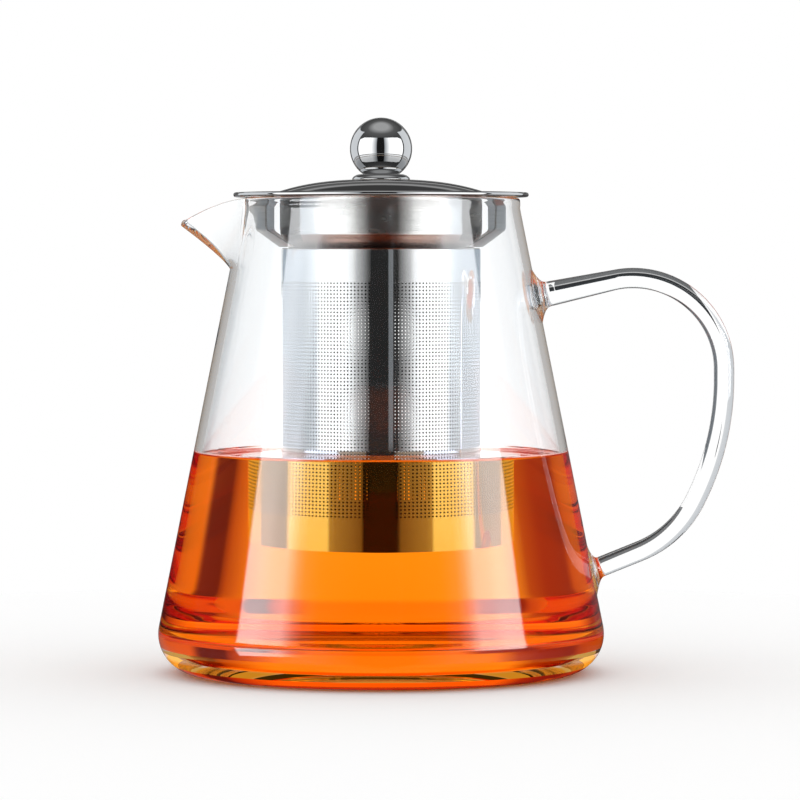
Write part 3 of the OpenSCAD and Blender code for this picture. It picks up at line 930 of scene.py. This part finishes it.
# How high the diffusers reach, by the angle from the camera's side
DIFFUSER_TOPS = ((0, 41.0), (50, 37.5), (75, 33.5), (96, 23.0), (98, 46.0), (148, 29.0), (152, 38.0), (180, 38.0))
BACK_TOP = 50.0            # top of the white sweep straight behind
DARK, CEILING, SIDE_GREY, DIFFUSER, LAMP = 0.015, 0.14, 0.9, 1.725, 10.5
# Painted glow: an emission of the paper that stands in for light through the tea
UNDER_GLOW = 0.95          # of the paper under the pot
BEHIND_GLASS = 1.12        # the sweep behind is a little brighter than the paper white in front
IN_TEA = 4.5               # passes through glass and tea after which the ray is in the tea
# Dark cards that paint shade into the handle, seen only through its glass, lying level behind its upper arm and its
# lower arm:
# x, x, y, y, height, most glass faces in front and three greys from near to far
CARDS = ((58.0, 90.0, 12.0, 420.0, 60.0, 2, ((0.16, 0.165, 0.17), (0.03, 0.032, 0.035), (0.04, 0.045, 0.05))),
         (60.0, 150.0, 8.0, 110.0, 1.0, 2, ((0.16, 0.165, 0.17), (0.05, 0.052, 0.055), (0.2, 0.205, 0.21))))


def grey(level, blue=0.0):
    return (level * (1 - blue), level, level * (1 + blue))


def paper_material(name):
    """A dull material with its graph, shader, output and light path."""
    material, graph, shader, output = new_material(name)
    graph.fill(shader, {"Roughness": 1.0, "Specular IOR Level": 0.0})
    return material, graph, shader, output, graph.node("ShaderNodeLightPath").outputs


def see_through(graph, output, shader, share):
    clear = graph.node("ShaderNodeBsdfTransparent")
    mixed = graph.node("ShaderNodeMixShader", share, shader.outputs["BSDF"], clear.outputs["BSDF"])
    graph.feed(output.inputs["Surface"], mixed.outputs["Shader"])


def make_floor():
    """White paper; the strainer's mirror image of it is left out, so the dark gap goes on below."""
    ring = [(*turn(360 * i / 96, FLOOR_RADIUS), -0.1) for i in range(96)]
    floor = mesh_piece("floor", ring, [tuple(range(96))], sharp=None)
    material, graph, shader, output, path = paper_material("pale_floor")
    calc = graph.calc
    # Under the pot the paper gets a painted glow: an emission, seen only through glass, that stands in for the light
    # that comes down through the tea
    place = graph.place()
    away = graph.node("ShaderNodeVectorMath", place)
    away.operation = "LENGTH"
    under = calc("LESS_THAN", away.outputs["Value"], (BELLY_RADIUS - 3) * MM)
    sideways = graph.span(calc("ABSOLUTE", graph.split(place)["X"]), UNDER_GLOW, 0.35, 38 * MM, 50 * MM)
    glow = calc("ADD", BEHIND_GLASS - 1.0, calc("MULTIPLY", under, sideways))
    graph.fill(shader, {"Base Color": WHITE, "Emission Color": WHITE,
                        "Emission Strength": calc("MULTIPLY", path["Is Transmission Ray"], glow)})
    in_glass = calc("MAXIMUM", calc("GREATER_THAN", path["Transmission Depth"], 0.5), path["Is Singular Ray"])
    mirrored = calc("MULTIPLY", calc("GREATER_THAN", path["Glossy Depth"], 0.5), in_glass)
    hidden = calc("MAXIMUM", mirrored, calc("GREATER_THAN", path["Transmission Depth"], IN_TEA))
    see_through(graph, output, shader, hidden)
    floor.data.materials.append(material)


def make_card(number, x0, x1, y0, y1, z, faces, greys):
    """A dark card of painted shade: only bare rods and walls of glass show its top."""
    corners = [(x0, y0, z), (x1, y0, z), (x1, y1, z), (x0, y1, z)]
    card = mesh_piece(f"card_{number}", corners, [(0, 1, 2, 3)], sharp=None)
    material, graph, shader, output, path = paper_material(f"painted_shade_card_{number}")
    calc = graph.calc
    along = calc("DIVIDE", graph.split(graph.place())["Y"], y1 * MM)
    near, middle, far = greys
    graph.fill(shader, {"Base Color": graph.ramp(along, [
        (0.0, near), (0.24, near), (0.29, grey(0.7)), (0.33, middle), (0.5, middle), (0.6, far), (1.0, far)])})
    from_above = calc("LESS_THAN", graph.node("ShaderNodeNewGeometry").outputs["Backfacing"], 0.5)
    seen = calc("MULTIPLY", path["Is Transmission Ray"], calc("LESS_THAN", path["Transmission Depth"], faces + 0.5))
    see_through(graph, output, shader, calc("SUBTRACT", 1.0, calc("MULTIPLY", seen, from_above)))
    card.data.materials.append(material)
    card.visible_camera = card.visible_shadow = card.visible_diffuse = card.visible_glossy = False


def make_world():
    world = bpy.data.worlds.new("studio")
    bpy.context.scene.world = world
    world.use_nodes = True
    graph = Graph(world.node_tree)
    calc, mix = graph.calc, graph.mix
    path = graph.node("ShaderNodeLightPath").outputs

    def more(value, limit):
        return calc("GREATER_THAN", value, limit)

    def less(value, limit):
        return calc("LESS_THAN", value, limit)

    def both(a, b):
        return calc("MULTIPLY", a, b)

    def near(value, middle, reach):
        return less(calc("ABSOLUTE", calc("SUBTRACT", value, middle)), reach)

    x, y, z = graph.split(graph.node("ShaderNodeTexCoord").outputs["Generated"])
    # Height is a share of 90 degrees, and front the angle away from the camera's side, in radians
    rise = calc("ARCSINE", z)
    height = calc("DIVIDE", rise, math.pi / 2)
    front = calc("ARCTAN2", x, calc("MULTIPLY", y, -1.0))
    ceiling = graph.ramp(height, [(CEILING_FROM / 90, grey(CEILING * 0.6)), (0.62, grey(CEILING)),
                                  (0.8, grey(0.5)), (1.0, grey(0.5))])

    def ramp_away(shift, stops):
        away = calc("DIVIDE", calc("ABSOLUTE", calc("SUBTRACT", front, math.radians(shift))), math.pi)
        return graph.ramp(away, [(degrees / 180, colour) for degrees, colour in stops])

    # The flat diffusers reach highest in front of the knob and lower at their far ends
    low = less(height, ramp_away(0.0, [(degrees, grey(top / 90)) for degrees, top in DIFFUSER_TOPS]))

    # Bare steel mirrors the gap, the diffusers, the strips at the sides and the far end
    side, back = grey(SIDE_GREY, 0.03), grey(0.11)
    direct = mix(low, ceiling, ramp_away(DIRECT_SHIFT, [
        (0, grey(DARK)), (SLOT_HALF - 0.7, grey(DARK)), (SLOT_HALF + 0.7, grey(0.42, 0.06)),
        (GLOW_FROM, grey(DIFFUSER)), (91, grey(DIFFUSER)), (92, grey(0.03)), (97, grey(0.03)), (98, side),
        (SIDE_TO, side), (SIDE_TO + 2, back), (180, back)]))
    # Lines of shade across the far end of the room, which the dome of the lid mirrors
    lines = graph.ramp(height, [(degrees / 90, grey(level)) for degrees, level in (
        (0, 0.17), (9, 0.17), (10.5, 0.02), (12, 0.02), (14, 0.56), (15.5, 0.14), (20, 0.14), (22, 0.5),
        (23.5, 0.42), (25.5, 0.07), (90, 0.14))])
    far_end = both(more(calc("ABSOLUTE", front), math.radians(149)), low)
    direct = mix(both(far_end, more(height, 0.0)), direct, lines)

    # The leaning wall of the pot mirrors one narrow band only: a bright lamp on each side, dark elsewhere
    band = calc("ARCSINE", both(calc("COSINE", both(front, 0.5)), math.sin(math.radians(2 * abs(WALL_LEAN)))))
    in_band = both(less(calc("SUBTRACT", rise, band), math.radians(0.9)), path["Is Singular Ray"])
    lamps = ramp_away(0.0, [(degrees, grey(LAMP * part, 0.02)) for degrees, part in (
        (0, 0.0), (34, 0.0), (42, 0.04), (47, 0.2), (54, 0.78), (61, 0.82), (68, 1.0), (79, 0.92),
        (80.5, 0.006), (146, 0.006), (150, 0.011), (180, 0.011))])
    # Their lower parts, and the left one's level part, are masked, or the pot's edges glare in other views
    right = more(front, 0.0)
    lower_part = less(height, calc("SUBTRACT", both(right, 15 / 90), 20 / 90))
    level_part = both(near(height, 2 / 90, 5 / 90), calc("SUBTRACT", 1.0, right))
    lamps = mix(calc("MAXIMUM", lower_part, level_part), lamps, grey(DARK))
    direct = mix(in_band, direct, lamps)

    # The strainer behind the glass: a gap with a thin stand in it, white beside it and dimmer further round
    through = ramp_away(SLOT_SHIFT, [
        (0, grey(0.03)), (16, grey(0.03)), (18.7, grey(0.23)), (24, grey(0.5)), (30, grey(0.8)),
        (35, grey(1.45)), (46, grey(2.0)), (76, grey(2.05)), (84, (1.05, 1.12, 1.2)), (99, (0.64, 0.72, 0.79)),
        (106, (0.54, 0.62, 0.71)), (156, (0.47, 0.54, 0.62)), (161, grey(BEHIND_GLASS)),
        (180, grey(BEHIND_GLASS))])
    stand = both(near(front, math.radians(10.4), math.radians(1.9)), more(height, -2.6 / 90))
    through = mix(low, ceiling, mix(stand, through, grey(0.3, 0.05)))
    # The strainer in the tea: a wider gap, browns beside it and bright gold further out
    in_tea = more(path["Transmission Depth"], IN_TEA)
    gold = (1.75, 1.85, 2.2)
    sunk = ramp_away(0.0, [
        (0, grey(DARK)), (17, grey(DARK)), (20, (0.3, 0.22, 0.15)), (46, (0.62, 0.5, 0.4)), (52, (0.8, 0.7, 0.6)),
        (55, gold), (100, gold), (106, grey(0.4)), (147, grey(0.5)), (149, grey(BEHIND_GLASS)),
        (180, grey(BEHIND_GLASS))])
    through = mix(in_tea, through, mix(low, ceiling, sunk))
    # Light that has bounced inside a wall or a rod of glass comes from the dark sides of the room
    behind_glass = more(path["Transmission Depth"], 0.5)
    thin = less(path["Transmission Depth"], 3.5)
    in_wall = both(both(thin, behind_glass), more(calc("ABSOLUTE", front), math.radians(110)))
    bounced = mix(more(path["Glossy Depth"], 1.5), grey(0.62, 0.03), grey(0.05, 0.06))
    through = mix(in_wall, through, bounced)

    # What clear glass and tea show, by the angle away from straight behind
    behind = calc("ADD", calc("DIVIDE", calc("ARCTAN2", x, y), 2 * math.pi), 0.5)
    back_wall = both(less(height, BACK_TOP / 90), near(behind, 0.5, 0.1))
    low_or_back = calc("MAXIMUM", low, back_wall)

    def seen(stops, top):
        ramp = graph.ramp(behind, [((degrees + 180) / 360, colour) for degrees, colour in stops])
        return mix(low_or_back, top, ramp)

    pale, strip = grey(0.4, 0.05), grey(0.35, 0.06)
    clear = seen([
        (-118, WHITE), (-116, pale), (-107, pale), (-105, WHITE), (-77, WHITE), (-76, grey(0.26, 0.1)),
        (-60, grey(0.3, 0.1)), (-56, grey(0.58, 0.05)), (-26, grey(0.64, 0.04)), (-14, grey(0.7, 0.03)),
        (-11, grey(BEHIND_GLASS)), (30, grey(BEHIND_GLASS)), (34, grey(0.2, 0.08)), (56, grey(0.14, 0.1)),
        (60, strip), (76, strip), (77, WHITE), (105, WHITE), (107, pale), (116, pale), (118, WHITE)], ceiling)
    full, dim, brown = grey(1.28), (0.7, 0.28, 0.12), (0.5, 0.2, 0.1)
    rust, orange = (0.13, 0.03, 0.02), (0.95, 0.5, 0.3)
    tea = seen([
        (-180, WHITE), (-88, WHITE), (-84, dim), (-75, dim), (-60, (0.9, 0.5, 0.3)), (-44, (0.6, 0.25, 0.12)),
        (-40, (0.28, 0.06, 0.03)), (-29, (0.36, 0.08, 0.04)), (-24, brown), (-18, full), (15, full),
        (22, (0.8, 0.45, 0.3)), (26, brown), (28, rust), (36, rust), (39, orange), (65, orange), (80, dim),
        (84, dim), (88, WHITE), (180, WHITE)], (1.0, 0.95, 0.9))

    on_metal = both(more(path["Glossy Depth"], 0.5), less(path["Transmission Depth"], 6.5))
    studio = mix(on_metal, mix(in_tea, clear, tea), mix(behind_glass, direct, through))
    trapped = both(more(path["Glossy Depth"], 2.5), calc("MAXIMUM", thin, more(path["Glossy Depth"], 5.5)))
    studio = mix(trapped, studio, (0.68, 0.53, 0.4))
    # Dull surfaces and the camera itself see a plain white room
    sharp = both(calc("MAXIMUM", path["Is Glossy Ray"], path["Is Transmission Ray"]),
                 less(path["Diffuse Depth"], 0.5))
    shown = mix(path["Is Camera Ray"], mix(sharp, WHITE, studio), WHITE)
    background = graph.node("ShaderNodeBackground", shown)
    graph.feed(graph.node("ShaderNodeOutputWorld").inputs["Surface"], background.outputs["Background"])


make_floor()
for number, card in enumerate(CARDS):
    make_card(number, *card)
make_world()
scene = bpy.context.scene
scene.view_settings.view_transform = "Standard"
scene.cycles.max_bounces = 64
scene.cycles.transmission_bounces = 64
scene.cycles.glossy_bounces = 64
